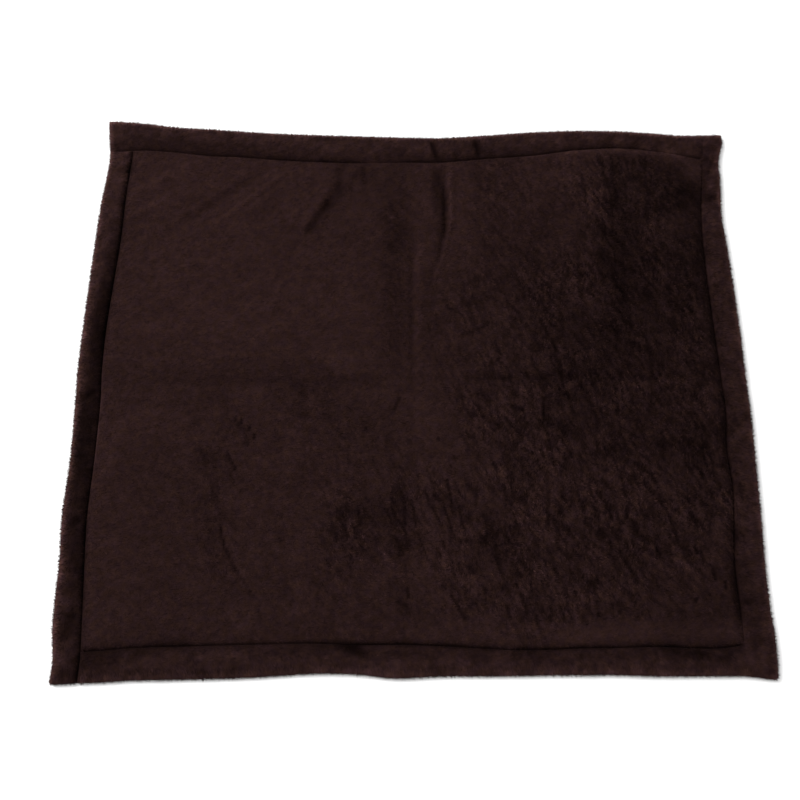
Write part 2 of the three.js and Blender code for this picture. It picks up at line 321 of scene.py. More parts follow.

# Broad painted light and shade on the pile: patches where its lie makes it look darker and
# lighter, painted shade beside wrinkles and puckers, and painted highlights on the crests of
# folds: from x and y, to x and y, reach to each side, and doublings of the light, under 0 where it
# is darker
SHADES = [
    (-200, 170, -160, 60, 110, 0.05),
    (-50, 205, -150, 120, 70, -0.12),
    (-100, 40, -60, -30, 60, -0.1),
    (-200, -60, -200, -240, 150, -0.25),
    (-60, -110, -80, -220, 80, -0.2),
    (-14, 232, -16, 150, 24, -0.28),
    (-15, 150, -17, 16, 21, -0.45),
    (-34, 205, -32, 20, 40, -0.18),
    (8, 150, 6, 108, 6, 0.12),
    (12, 110, 12, 20, 10, -0.14),
    (30, 70, 60, -60, 70, -0.25),
    (110, 120, 140, -60, 95, -0.45),
    (201, 215, 208, 30, 58, -0.62),
    (248, 190, 255, -60, 66, -0.72),
    (275, 190, 270, 90, 34, -0.6),
    (190, 20, 180, -40, 70, -0.35),
    (248, -60, 258, -150, 45, -0.5),
    (60, -140, 110, -200, 60, -0.35),
    (150, -160, 240, -220, 75, -0.5),
    (-58, -128, 30, -122, 26, -0.3),
    (-50, -128, -56, -165, 30, -0.2),
    (-282, 4, -160, 0, 16, -0.16),
    (-170, 10, -80, 8, 13, -0.24),
    (-110, -12, -36, -4, 11, -0.22),
    (-40, -6, 150, -6, 15, -0.16),
    (-48, 226, -98, 155, 10, -0.45),
    (-66, 208, -108, 160, 12, 0.2),
    (25, 218, 28, 184, 12, -0.5),
    (29, 170, 26, 132, 8, -0.65),
    (63, 236, 66, 190, 11, -0.2),
    (14, -172, 20, -190, 18, 0.1),
    (-85, 22, -16, 20, 13, 0.12),
    (-158, -49, -150, -58, 12, -0.3),
    (-182, -90, -168, -176, 14, -0.1),
    (228, 210, 275, 194, 18, -0.45),
    (238, 181, 243, 178, 14, -0.5),
    (275, 196, 276, 194, 9, -0.7),
    (261, 181, 262, 181, 10, -0.5),
    (220, 211, 221, 211, 8, -0.6),
    (182, 126, 188, 108, 15, -0.45),
    (195, 90, 198, 72, 13, -0.5),
    (206, 170, 268, 148, 24, 0.32),
    (192, 200, 212, 156, 14, -0.25),
    (190, 122, 236, 78, 22, -0.22),
    (118, 239, 160, 243, 7, 0.3),
    (158, 243, 206, 246, 7, 0.5),
    (206, 246, 240, 241, 6, 0.5),
    (250, 243, 266, 237, 5, 0.45),
    (266, 237, 279, 223, 5, 0.35),
    (279, 223, 284, 204, 5, 0.2),
    (238, 230, 262, 221, 12, -0.4),
    (200, 230, 258, 226, 14, -0.35),
    (262, 216, 274, 207, 10, -0.25),
    (290, 257, 289, 239, 5, -0.55),
    (214, 268, 240, 265, 7, 0.7),
    (240, 265, 280, 264, 7, 0.7),
    (199, 205, 202, 60, 15, -0.4),
    (172, 190, 172, 60, 15, 0.25),
    (281, 160, 275, 72, 14, -0.25),
    (294, 236, 289, 190, 6, -0.45),
    (22, 250, 27, 236, 5, -0.8),
    (64, 262, 69, 238, 6, -0.5),
    (43, 240, 45, 237, 5, -0.6),
    (-64, -248, -50, -250, 7, -1.1),
    (-50, -251, -34, -259, 6, -0.5),
    (-14, -124, -11, -176, 13, -0.35),
    (-212, -248, -192, -247, 5, -0.5),
    (215, -251, 244, -255, 7, -0.8),
    (292, -252, 300, -268, 14, -0.3),
    (289, -16, 283, -110, 6, -0.3),
    (-300, -30, -300, -95, 5, -0.35),
    (-308, -30, -308, -95, 5, 0.45),
    (-291, -18, -291, -88, 3, 0.5),
    (-301, -220, -301, -242, 6, -0.8),
    (281, -174, 280, -222, 6, -0.6),
    (-267, -46, -278, -94, 9, 0.2),
    (-278, -94, -285, -123, 8, 0.2),
    (-134, 154, -115, 154, 9, -0.22),
    (64, -134, 82, -170, 14, -0.3),
    (157, -151, 176, -149, 14, -0.3),
    (150, 222, 190, 206, 30, 0.3),
    (150, 60, 150, -30, 42, -0.36),
    (180, 150, 180, 50, 32, -0.34),
    (210, 105, 213, 80, 22, -0.3),
    (210, -25, 210, -150, 30, -0.4),
    (75, 215, 110, 110, 55, -0.17),
    (0, 150, 30, 150, 22, -0.18),
    (-110, -20, -30, -60, 50, -0.22),
    (-34, -146, 0, -148, 24, -0.22),
    (-32, -225, 5, -223, 24, -0.28),
    (60, -175, 62, -162, 22, -0.26),
    (150, -224, 153, -226, 18, -0.36),
    (208, 206, 242, 200, 22, 0.22),
    (120, -150, 124, -205, 22, 0.24),
    (-244, -50, -208, -60, 36, 0.18),
    (-150, -20, -150, -28, 22, 0.15),
    (240, 2, 243, -2, 20, 0.25),
    (215, -174, 242, -178, 22, 0.1),
    (-150, -224, -148, -228, 15, 0.28),
    (140, -237, 285, -237, 14, 0.22),
    (60, -20, 62, -45, 24, 0.26),
    (240, -10, 245, -80, 22, 0.28),
    (-15, -198, 34, -203, 24, -0.25),
    (270, -170, 272, -215, 18, -0.26),
    (150, -198, 152, -202, 20, 0.2),
    (-15, -30, -15, -60, 24, -0.15),
    (90, 52, 150, 50, 18, -0.15),
    (135, 210, 150, 145, 32, -0.18),
    (-58, -106, -56, -118, 18, 0.2),
]
# Where the pile is ruffled, in the same columns, with how much ruffling each row adds
RUFFLED = [
    (215, 172, 235, -120, 88, 1.4),
    (235, -120, 240, -210, 80, 0.5),
    (150, 60, 155, -160, 100, 1.2),
    (150, -160, 160, -215, 80, 0.5),
    (270, 185, 272, -150, 36, 0.5),
    (80, -40, 105, -215, 60, 0.8),
    (26, -112, 45, -205, 50, 0.8),
    (-10, -118, -18, -175, 32, 0.6),
    (90, 205, 115, 110, 78, 0.6),
    (150, 224, 172, 186, 34, 0.5),
    (-100, -25, -20, -85, 52, 0.35),
    (195, 205, 238, 200, 42, 0.6),
    (50, 80, 62, -30, 62, 0.6),
    (-16, 172, -16, 25, 26, 0.35),
    (-62, -128, -56, -165, 34, 0.8),
    (-158, -49, -156, -53, 20, 0.45),
    (-182, -80, -166, -190, 26, 0.3),
    (-15, -212, -5, -214, 22, 0.5),
    (-200, -100, -110, -190, 120, 0.2),
    (-90, -70, -60, -210, 70, 0.2),
    (60, 250, 170, 252, 18, -1),
    (170, 252, 235, 252, 11, -1),
    (185, 232, 262, 226, 16, 0.6),
    (225, 252, 284, 240, 9, -0.9),
    (130, -241, 286, -239, 18, -1.2),
]
MOST_RUFFLED = 1.15
RUFFLING = 0.85  # average share that is ruffled, and the share's range
RUFFLING_RANGE = (0.2, 1.2)

# Unevenness made with noise: how much, its lengths along X and Y or along a seam, and the
# noise's layer
MOTTLES = {
    "ruffling": (0.5, 0.035, 0.028, 4),
    "ruffled_light": (0.45, 0.028, 0.022, 3),
    "stroke_bend": (0.003, 0.018, 0.018, 7),
    "furrow_bend": (0.0024, 0.016, 0.016, 7),
    "comb_bend": (0.004, 0.03, 0.03, 6),
    "clumps_along": (0.5, 0.03, 0.03, 5),
    "clumps_across": (0.9, 0.04, 0.04, 6),
    "clumps_ragged": (0.25, 0.006, 0.006, 7),
    "lie": (0.3, 0.06, 0.06, 1),
    "cloth_bumps": (0.00012, 0.006, 0.004, 3),
    "rim_light": (0.3, 0.005, 0.005, 1),
    "border_light": (0.5, 0.012, 0.012, 0),
    "border_specks": (0.5, 0.004, 0.004, 1),
    "light": (0.12, 0.022, 0.015, 2),
    "seam_width": (0.8, 0.011, 1, 2),
    "seam_wander": (0.0007, 0.009, 1, 1),
    "seam_darkness": (0.6, 0.021, 1, 3),
}

# The ruffled pile's clumps: length and width, doublings of the light in their middle and how
# much their shade and their border take off, how far they turn the pile in radians, and how
# much their middle lifts it and their shade lowers it
CLUMP_ANGLE = math.radians(-62)
CLUMPS = [
    (0.015, 0.0054, 0.5, 0.4, 0.35, 1.6, 0.6, 0.6),
    (0.0085, 0.0026, 0.3, 0.35, 0.3, 0.8, 0.4, 0),
]
CLUMP_HEIGHT = 0.0008
CELL_MARGIN = 0.1  # how far from its cell's sides a clump's centre keeps
CLUMP_BORDER = 0.4  # both as shares of a cell
# The grain of all the pile: angle, length, width and layer of random values
GRAIN = (0.15, 0.0052, 0.0038, 2)
GRAIN_LIGHT = 0.5
GRAIN_TURN = 0.35

# Strokes scattered over the ruffled pile: angle in degrees, length, width, noise layer and
# doublings of the light
STROKES = [
    (-64, 17, 3.2, 0, -0.9),
    (-40, 12, 2.6, 1, -0.6),
    (-86, 11, 2.4, 2, -0.6),
    (-58, 13, 2.6, 3, 0.4),
]
STROKE_EDGE = (0.12, 0.5)  # values of the noise between which a stroke fades in
# Thin furrows wandering over it, in the same columns
FURROWS = [
    (-62, 24, 7, 8, -0.9),
    (-47, 19, 6.5, 9, -0.7),
    (-79, 20, 6, 10, -0.6),
]
FURROW_EDGE = 0.16  # how near 0 the noise is on a furrow
FURROW_BREAKS = (-0.05, 0.3)
# Fine combed streaks all over the mat, as one such row
COMB = (-55, 11, 2.7, 3, 0.55)
COMBED_WHERE_SMOOTH = 0.15

# Doublings of the light past which bright and dark pile is toned down by half
BRIGHT_PILE = 0.35
DARK_PILE = -0.75

# Painted shade on each border and beside the stitching: distance along the side, halvings of
# the light on the border and how far they reach out from the stitching, the same inwards on
# the panel, and halvings on the stitch line itself, all under 0 where it is painted lighter
LEFT_SHADE = [
    (-270, 0.8, 21, 0.1, 5, 1.4),
    (-240, 0.5, 14, 0.4, 6, 0.2),
    (-175, 1.1, 20, 0.2, 6, 1.3),
    (-120, 1.2, 20, 0, 5, 0.5),
    (-60, 1.7, 25, 0, 5, -1.1),
    (0, 1.5, 18, 0, 5, -0.1),
    (60, 1.9, 17, 0, 5, 1.5),
    (100, 1.2, 15, 0, 5, 1.1),
    (140, 0.5, 15, 0, 5, 1.4),
    (180, -0.1, 14, 0, 5, 1.9),
    (270, -0.3, 24, 0, 5, 1.6),
]
RIGHT_SHADE = [
    (-270, 0.9, 24, 0.2, 8, -0.4),
    (-230, 0.7, 22, 0.4, 9, 0),
    (-190, 0.5, 17, 0.9, 12, 0.3),
    (-155, 0.3, 14, 0.1, 10, 0.1),
    (-115, 0.35, 10, 0.1, 8, 0.1),
    (-60, 0.1, 8, 0.7, 13, 0),
    (60, 0.1, 8, 0.9, 13, 0.2),
    (100, -0.5, 15, 0.5, 13, 0.2),
    (135, -0.45, 18, 0.2, 12, 0),
    (180, -0.5, 20, 0.1, 12, -0.5),
    (220, 0.1, 12, 0.1, 10, 0.5),
    (260, 0.4, 12, 0, 8, 0.6),
]
BACK_SHADE = [
    (-300, 0.6, 20, 0, 4, -0.2),
    (-230, 0.55, 20, 0, 4, -0.2),
    (-190, 0.55, 20, 0, 4, 0.2),
    (-120, 0.3, 20, 0.1, 4, 0.4),
    (-60, 0.25, 20, 0.1, 5, 0.4),
    (-45, 0.2, 20, 0.1, 5, -0.9),
    (-22, 0.2, 20, 0.1, 5, -0.9),
    (-6, 0.2, 18, 0.1, 5, 0.4),
    (25, 0.2, 18, 0.1, 5, 0.5),
    (60, 0.4, 20, 0, 4, 0.2),
    (120, 0.1, 16, 0, 4, 0.2),
    (170, 0, 16, 0, 4, 0.3),
    (222, 0.1, 16, 0, 4, 0.1),
    (245, 0.2, 14, 0, 4, -1),
    (266, 0.3, 14, 0, 4, -0.8),
    (282, 0.2, 14, 0, 4, 0.9),
    (300, 0.2, 14, 0, 4, 0.9),
]
FRONT_SHADE = [
    (-300, 1, 24, 0.1, 5, 0.2),
    (-260, 0.9, 22, 0.1, 5, 0.3),
    (-215, 0.4, 10, 0.1, 5, 0.6),
    (-160, 0.2, 8, -0.25, 7, 0.4),
    (-90, 0.5, 17, -0.25, 7, 0.2),
    (-40, 0.4, 14, 0.1, 4, 0.7),
    (0, 0.6, 15, 0.1, 4, 1.1),
    (60, 0.6, 15, 0.1, 4, 0.9),
    (130, 0.5, 16, 0.1, 4, 0.9),
    (180, 0.4, 14, 0, 4, 0.7),
    (240, 0.7, 16, 0, 4, 0.8),
    (300, 0.7, 16, 0, 4, 0.3),
]
SEAM_SHADES = {"left": LEFT_SHADE, "right": RIGHT_SHADE, "back": BACK_SHADE, "front": FRONT_SHADE}
BORDER_SHADE_FULL = 0.45  # share of its reach over which a shade is full
PANEL_SHADE_FULL = 0.2
SEAM_REACH = 0.0022
SEAM_NOISE_ROW = {"left": 42, "right": 52.5, "back": 42, "front": 52.5}  # its place in noise
BARE_SEAM = 0.6  # no tufts grow where the line is stronger than this

# Doublings of the light on the outermost pile by a narrow glow and a wider sheen, and the
# distances in from the edge between which each fades out
RIM_GLOW = {"left": 0.9, "right": 0.8, "back": 1.8, "front": 0.6}
RIM_GLOW_FADE = (0.0015, 0.0065)
RIM_SHEEN = {"left": 0.65, "right": 0.65, "back": 0.7, "front": 0.3}
RIM_SHEEN_FADE = (0.0005, 0.01)
BORDER_FADE = (0.02, 0.028)  # the same for the border's own patches
OUTWARD_REACH = 0.008  # how far in the pile still leans out over an edge

# The tufts' sizes where the pile is smooth, where it is ruffled and on the rim, which gives
# way to the panel between two distances in from the edge
TUFTS_PER_PIECE = 46000
TUFT_SIZES = {
    "length": (0.0034, 0.0032, 0.0034),
    "half_width": (0.00052, 0.00055, 0.00032),
    "rise": (8, 15, 24),
    "spread": (0.6, 0.4, 0.85),
}
RIM_FADE = (0.002, 0.012)
# Shares of those that one tuft's sizes lie between
TUFT_RANGES = {"rise": (0.4, 1.6), "length": (0.7, 1.2), "half_width": (0.75, 1.25)}
TUFT_ROOT = 0.0004  # how deep in the cloth a tuft starts
TUFT_RIDGE = 0.35  # a tuft's height against its half width
TUFT_AT_TIP = [0, 0, 0.2, 1]  # how near the tip its four corners are, for the colour
TUFT_FACES = [0, 2, 1, 0, 1, 3, 1, 2, 3, 2, 0, 3]
TUFT_UNEVENNESS = 0.26  # how unlike in light they are, and how much more where ruffled
RUFFLED_UNEVENNESS = 0.18
SMOOTH_ANGLE = -0.12  # the smooth pile lies along X, turned by this
OUTWARD_GAIN = 2  # how soon beside an edge the tufts turn to it
OUTWARD_LEAN = 0.8  # and how much of the comb's way that takes from them
LOWEST_TUFT = 0.0002  # height above which pile grows, and under which none dips

# Camera, from the photo's perspective
PHOTO_WIDTH_PX = 800
FOCAL_LENGTH_PX = 1200
SENSOR_WIDTH_MM = 36
CAMERA_ELEVATION = math.radians(68.8)
CAMERA_DISTANCE = 1.115
CAMERA_TARGET = (-0.0117, -0.0208, 0)

FLOOR_SIZE = 20
FLOOR_DROP = 0.0002  # the floor lies this far under the mat

# Colour ramps, as places and colours: the plush from its darkest to its brightest pile, the
# dye's tints as shares of that, and the floor
PLUSH_BROWNS = [(0, (0.0004, 0.0001, 0.0001, 1)), (1, (0.062, 0.0291, 0.0273, 1))]
BRIGHTEST_SHARE = 4  # the brightest pile against the usual brown
PLUSH_TINTS = [(0.3, (0.95, 0.96, 1.1, 1)), (0.7, (1.05, 1.04, 0.89, 1))]
FLOOR_GREYS = [(0, (0.9, 0.9, 0.9, 1)), (1, (0.93, 0.93, 0.93, 1))]
PLUSH_GLOSS = {
    "Roughness": 1,
    "Specular IOR Level": 0.012,
    "Sheen Weight": 0.03,
    "Sheen Roughness": 0.35,
    "Sheen Tint": (0.8, 0.45, 0.42, 1),
}
FLOOR_GLOSS = {"Roughness": 0.8, "Specular IOR Level": 0.1}

# Sockets of the node that mixes colours
MIX_SOCKETS = {"first": 6, "second": 7, "mixed": 2}


def smooth_step(value, low, high):
    t = np.clip((value - low) / (high - low), 0, 1)
    return t * t * (3 - 2 * t)


def along_side(side, column, along):
    """One column of a side's table on a smooth curve through its rows."""
    rows = np.array(side, float)
    places, values = rows[:, 0] * MM, rows[:, column]
    before, after = np.clip(np.arange(len(rows)) + [[-1], [1]], 0, len(rows) - 1)
    slopes = (values[after] - values[before]) / (places[after] - places[before])
    place = np.clip(along, places[0], places[-1])
    i = np.clip(np.searchsorted(places, place) - 1, 0, len(rows) - 2)
    span = places[i + 1] - places[i]
    t = (place - places[i]) / span
    return (
        (2 * t**3 - 3 * t**2 + 1) * values[i]
        + (t**3 - 2 * t**2 + t) * span * slopes[i]
        + (3 * t**2 - 2 * t**3) * values[i + 1]
        + (t**3 - t**2) * span * slopes[i + 1]
    )


def along_sides(p, q):
    """How far along each side points of the nominal frame are."""
    return {"left": q, "right": q, "back": p, "front": p}


def sides_at(p, q):
    """Each side's edge and stitch line beside points of the nominal frame."""
    return {
        side: {
            "edge": along_side(SIDES[side], 1, along) * MM - CLOTH_INSET,
            "stitch": along_side(SIDES[side], 2, along) * MM,
        }
        for side, along in along_sides(p, q).items()
    }


def between(value, axis, low, high):
    """Carries a nominal coordinate to its true place between two opposite sides."""
    edge, stitch = NOMINAL_EDGE[axis], NOMINAL_STITCH[axis]
    over_border = (np.abs(value) - stitch) / (edge - stitch)
    side = np.where(value < 0, low["edge"] - low["stitch"], high["edge"] - high["stitch"])
    on_line = np.where(value < 0, low["stitch"], high["stitch"])
    outer = np.sign(value) * (on_line + over_border * side)
    share = (value + stitch) / (2 * stitch)
    inner = -low["stitch"] + share * (low["stitch"] + high["stitch"])
    return np.where(np.abs(value) > stitch, outer, inner)


def distances_in(x, y, sides, line):
    """Distances in from the four edges or stitch lines."""
    return {
        "left": x + sides["left"][line],
        "right": sides["right"][line] - x,
        "front": y + sides["front"][line],
        "back": sides["back"][line] - y,
    }


def edge_distances(x, y, sides):
    """Distances in from the edges, with the corners drawn in to a small radius."""
    left, right, front, back = distances_in(x, y, sides, "edge").values()
    u = np.clip(1 - np.minimum(left, right) / CORNER_RADIUS, 0, 1)
    v = np.clip(1 - np.minimum(front, back) / CORNER_RADIUS, 0, 1)
    moved_across = CORNER_RADIUS * u * (1 - np.sqrt(1 - v**2 / 2))
    moved_along = CORNER_RADIUS * v * (1 - np.sqrt(1 - u**2 / 2))
    return {
        "left": left + moved_across * (left < right),
        "right": right + moved_across * (left >= right),
        "front": front + moved_along * (front < back),
        "back": back + moved_along * (front >= back),
    }


def from_nearer(d, sides, low, high):
    """A coordinate from the distances to two opposite edges."""
    return np.where(d[low] < d[high], d[low] - sides[low]["edge"], sides[high]["edge"] - d[high])


def pinch(distance, radius):
    """From 1 at a pinched line to 0 at the given distance, rounded as a puffed tube is."""
    q = np.clip(1 - np.abs(distance) / radius, 0, 1)
    return 1 - np.sqrt(1 - q**2)


def line_shares(inside):
    """How much of each side's stitching there is. The back line runs on to the left edge, the
    left one to the front edge and the right one, fading, to the back edge."""

    def within(side):
        return smooth_step(inside[side], -RUN_OUT_FADE, RUN_OUT_FADE)

    deepening = FRONT_DEPTH + (1 - FRONT_DEPTH) * smooth_step(inside["front"], *FRONT_SHALLOWS)
    fading = smooth_step(inside["back"], *BACK_FADE)
    return {
        "left": within("back"),
        "back": within("right"),
        "right": within("front") * deepening * fading,
        "front": within("left") * within("right"),
    }


def stitch_pull(inside, shares):
    """How far the stitching pulls the cloth down, from 0 to 1."""
    return np.max([pinch(inside[side], GROOVE_REACH) * shares[side] for side in inside], axis=0)


def fade_out(distance, reach, full):
    """From 1, up to a share of a reach in millimetres, to 0 at the reach."""
    return 1 - smooth_step(distance, full * reach * MM, reach * MM)


def seam_shade(inside, shares, p, q):
    """Halvings of the light on the borders and beside the stitching, and how strong the
    stitch line is. Where shades meet, the one furthest from 0 counts."""
    total, line = np.zeros((2, len(p)))
    for side, along in along_sides(p, q).items():
        columns = (along_side(SEAM_SHADES[side], column, along) for column in range(1, 6))
        on_border, border_reach, on_panel, panel_reach, on_line = columns
        row = SEAM_NOISE_ROW[side]
        out = -inside[side]
        border = on_border * fade_out(out, border_reach, BORDER_SHADE_FULL) * (out >= 0)
        panel = on_panel * fade_out(-out, panel_reach, PANEL_SHADE_FULL) * (out < 0)
        width = SEAM_REACH * (1 + mottle(along, row, "seam_width"))
        sewn = np.exp(-(((out - mottle(along, row, "seam_wander")) / width) ** 2)) * shares[side]
        on_line = on_line * (1 + mottle(along, row, "seam_darkness"))
        shade = (border + panel) * shares[side] + on_line * sewn
        total = np.where(np.abs(shade) > np.abs(total), shade, total)
        line = np.maximum(line, sewn)
    return total, line


def beside_lines(x, y, table):
    """For each row of a table: the distances along and across its line, the line's length,
    its reach to each side and the row's last value."""
    for *sizes, value in table:
        from_x, from_y, to_x, to_y, reach = (size * MM for size in sizes)
        length = math.hypot(to_x - from_x, to_y - from_y)
        run_x, run_y = (to_x - from_x) / length, (to_y - from_y) / length
        along = (x - from_x) * run_x + (y - from_y) * run_y
        across = (x - from_x) * run_y - (y - from_y) * run_x
        yield along, across, length, reach, value


def soft_bump(share):
    """From 1 in the middle to 0 at a share of 1 and past it."""
    return 0.5 * (1 + np.cos(math.pi * np.minimum(share, 1)))


def soft_lines(x, y, table, taper_share):
    """The table's lines added up, each fading to both sides and tapering to its ends over a
    share of its length."""
    total = np.zeros_like(x)
    for along, across, length, half_width, value in beside_lines(x, y, table):
        taper = taper_share * length
        outside = np.maximum(np.maximum(taper - along, along - length + taper), 0)
        total += value * soft_bump(np.hypot(outside / taper, across / half_width))
    return total


def soft_patches(x, y, table):
    """The table's patches added up, each fading all round the line that it is drawn on."""
    total = np.zeros_like(x)
    for along, across, length, reach, value in beside_lines(x, y, table):
        past_end = along - np.clip(along, 0, length)
        total += value * soft_bump(np.hypot(past_end, across) / reach)
    return total


def mottle(x, y, name):
    amount, length_x, length_y, layer = MOTTLES[name]
    return amount * noise(x / length_x, y / length_y, layer)


def at_angle(x, y, angle, length, width):
    """Places along and across an angle, in lengths and widths."""
    along = (x * math.cos(angle) + y * math.sin(angle)) / length
    across = (y * math.cos(angle) - x * math.sin(angle)) / width
    return along, across


def streak_places(x, y, degrees, length, width, bend):
    """Places for noise that is drawn out along an angle and bends a little."""
    along, across = at_angle(x, y, math.radians(degrees), length * MM, width * MM)
    return along, across + mottle(x, y, bend) / (width * MM)


def swell(x, y):
    height = np.zeros_like(x)
    for length_x, length_y, shift, full in SWELLS:
        height += full * MM * np.sin(2 * math.pi * (x / length_x + y / length_y) / MM + shift)
    return height


CELLS = 256
NOISE_ANGLES = RANDOM.uniform(0, 2 * math.pi, (12, CELLS, CELLS))
CELL_VALUES = RANDOM.random((3, 4, CELLS, CELLS))


def noise(x, y, layer):
    """Smooth gradient noise, from about -1 to 1, with cells 1 across."""
    i, j = np.floor(x).astype(int), np.floor(y).astype(int)
    fx, fy = x - i, y - j
    fade_x, fade_y = fx**3 * (fx * (6 * fx - 15) + 10), fy**3 * (fy * (6 * fy - 15) + 10)

    def corner(di, dj):
        angle = NOISE_ANGLES[layer, (i + di) % CELLS, (j + dj) % CELLS]
        return np.cos(angle) * (fx - di) + np.sin(angle) * (fy - dj)

    near = corner(0, 0) * (1 - fade_x) + corner(1, 0) * fade_x
    far = corner(0, 1) * (1 - fade_x) + corner(1, 1) * fade_x
    return 1.5 * (near * (1 - fade_y) + far * fade_y)


def clumps(x, y, angle, length, width, layer):
    """Uneven cells drawn out along an angle. Gives two random values from 0 to 1 for the cell
    that each place is in, and how far inside the cell it is, from 0 at its border to 1."""
    along, across = at_angle(x, y, angle, length, width)
    along += mottle(x, y, "clumps_along")
    across += mottle(x, y, "clumps_across") + mottle(x, y, "clumps_ragged")
    i, j = np.floor(along).astype(int), np.floor(across).astype(int)
    nearest = second = np.full_like(x, np.inf)
    picked = np.zeros((2, len(x)))
    spread = 1 - 2 * CELL_MARGIN
    for di in (-1, 0, 1):
        for dj in (-1, 0, 1):
            cell = CELL_VALUES[layer][:, (i + di) % CELLS, (j + dj) % CELLS]
            away_along = along - i - di - CELL_MARGIN - spread * cell[0]
            away_across = across - j - dj - CELL_MARGIN - spread * cell[1]
            away = np.hypot(away_along, away_across)
            closer = away < nearest
            second = np.where(closer, nearest, np.minimum(second, away))
            nearest = np.where(closer, away, nearest)
            picked = np.where(closer, cell[2:], picked)
    return *picked, np.clip((second - nearest) / CLUMP_BORDER, 0, 1)


def pile_lie(x, y):
    """How ruffled the pile is, how far it is turned, how high it lies, and doublings of the
    light."""
    ruffled = np.clip(soft_patches(x, y, RUFFLED), 0, MOST_RUFFLED)
    ruffled *= np.clip(RUFFLING + mottle(x, y, "ruffling"), *RUFFLING_RANGE)
    stops, turned, rise = np.zeros((3, len(x)))
    for layer, kind in enumerate(CLUMPS):
        length, width, middle, by_shade, by_border, turning, lifted, lowered = kind
        shade, turn, inside = clumps(x, y, CLUMP_ANGLE, length, width, layer)
        stops += ruffled * (middle - by_shade * shade - by_border * (1 - inside) ** 2)
        turned += turning * (turn - 0.5)
        rise += lifted * inside - lowered * shade
    for *kind, layer, doubled in STROKES:
        drawn = noise(*streak_places(x, y, *kind, "stroke_bend"), layer)
        stops += ruffled * doubled * smooth_step(drawn, *STROKE_EDGE)
    for *kind, layer, doubled in FURROWS:
        along, across = streak_places(x, y, *kind, "furrow_bend")
        line = np.exp(-((noise(along, across, layer) / FURROW_EDGE) ** 2))
        unbroken = smooth_step(noise(0.8 * along, 0.6 * across, layer + 1), *FURROW_BREAKS)
        stops += ruffled * doubled * line * unbroken
    stops += ruffled * mottle(x, y, "ruffled_light")
    *kind, layer, doubled = COMB
    combed_share = COMBED_WHERE_SMOOTH + (1 - COMBED_WHERE_SMOOTH) * ruffled
    stops += combed_share * doubled * noise(*streak_places(x, y, *kind, "comb_bend"), layer)
    grain_shade, grain_turn, _ = clumps(x, y, *GRAIN)
    stops += (1 - 0.5 * ruffled) * GRAIN_LIGHT * (grain_shade - 0.5)
    parted = soft_lines(x, y, PARTINGS, PARTING_TAPER)
    stops -= PARTING_SHADE * parted
    stops = (stops + np.clip(stops, DARK_PILE, BRIGHT_PILE)) / 2
    turned = ruffled * turned + GRAIN_TURN * (grain_turn - 0.5)
    rise = ruffled * CLUMP_HEIGHT * rise - PARTING_DEPTH * parted
    return ruffled, turned, rise, stops


def rim_light(x, y, from_edges):
    """Doublings of the light on the outermost pile."""
    lights = [
        RIM_GLOW[side] * (1 - smooth_step(distance, *RIM_GLOW_FADE))
        + RIM_SHEEN[side] * (1 - smooth_step(distance, *RIM_SHEEN_FADE))
        for side, distance in from_edges.items()
    ]
    return np.max(lights, axis=0) * (1 + mottle(x, y, "rim_light"))


def mat_surface(p, q):
    """The cloth's upper face at places of the nominal frame: its points, and for the pile its
    light, the seam, and how far and which way the edges are."""
    sides = sides_at(p, q)
    x = between(p, "x", sides["left"], sides["right"])
    y = between(q, "y", sides["front"], sides["back"])
    d = edge_distances(x, y, sides)
    x = from_nearer(d, sides, "left", "right")
    y = from_nearer(d, sides, "front", "back")

    nearest = np.min(list(d.values()), axis=0)
    over_panel = smooth_step(nearest, RIM_ROUNDING, 2 * GROOVE_REACH)
    creased = soft_lines(x, y, FOLD_LINES + WRINKLES + PUCKERS, CREASE_TAPER) * MM
    _, _, rise, lie_stops = pile_lie(x, y)
    full = BORDER_HEIGHT + (PANEL_HEIGHT - BORDER_HEIGHT) * over_panel + swell(x, y)
    full += rise - creased + mottle(x, y, "cloth_bumps")
    inwards = np.maximum(list(d.values()), 0)
    puff = np.prod(1 - pinch(inwards, RIM_ROUNDING), axis=0)
    open_height = RIM_HEIGHT + (full - RIM_HEIGHT) * puff
    inside = distances_in(x, y, sides, "stitch")
    shares = line_shares(inside)
    z = open_height - (open_height - STITCH_HEIGHT) * stitch_pull(inside, shares)

    shade, line = seam_shade(inside, shares, p, q)
    # The painted light and shade: patches, shade beside the seams and in the creases, and a
    # highlight on the outermost pile
    stops = lie_stops + soft_patches(x, y, SHADES) - shade - CREASE_SHADE * creased
    stops += rim_light(x, y, d) + mottle(x, y, "light")
    on_border = 1 - smooth_step(nearest, *BORDER_FADE)
    stops += on_border * (mottle(x, y, "border_light") + mottle(x, y, "border_specks"))
    left, right, front, back = np.exp(-inwards / OUTWARD_REACH)
    fields = {
        "light": np.exp2(stops) / BRIGHTEST_SHARE,
        # for the tufts: the painted light and shade beyond what the pile's lie gives
        "broad": stops - lie_stops,
        "edge": nearest,
        "line": line,
        "out_x": right - left,
        "out_y": back - front,
    }
    return np.stack([x, y, z], axis=1), fields


def grid_lines(axis, coarse, fine, change):
    """Grid lines from edge to edge: close over the borders and beside the stitching, coarse
    before the place of change and fine after it."""
    edge, stitch = NOMINAL_EDGE[axis], NOMINAL_STITCH[axis]
    half = [edge - step * (edge - stitch) for step in BORDER_STEPS]
    half += [stitch - step for step in PANEL_STEPS]
    start = stitch - PANEL_STEPS[-1]
    left_count = round((change + start) / coarse)
    right_count = round((start - change) / fine)
    inner = list(np.linspace(-start, change, left_count, endpoint=False))[1:]
    inner += list(np.linspace(change, start, right_count, endpoint=False))
    return np.array(sorted(half + [-value for value in half] + inner))


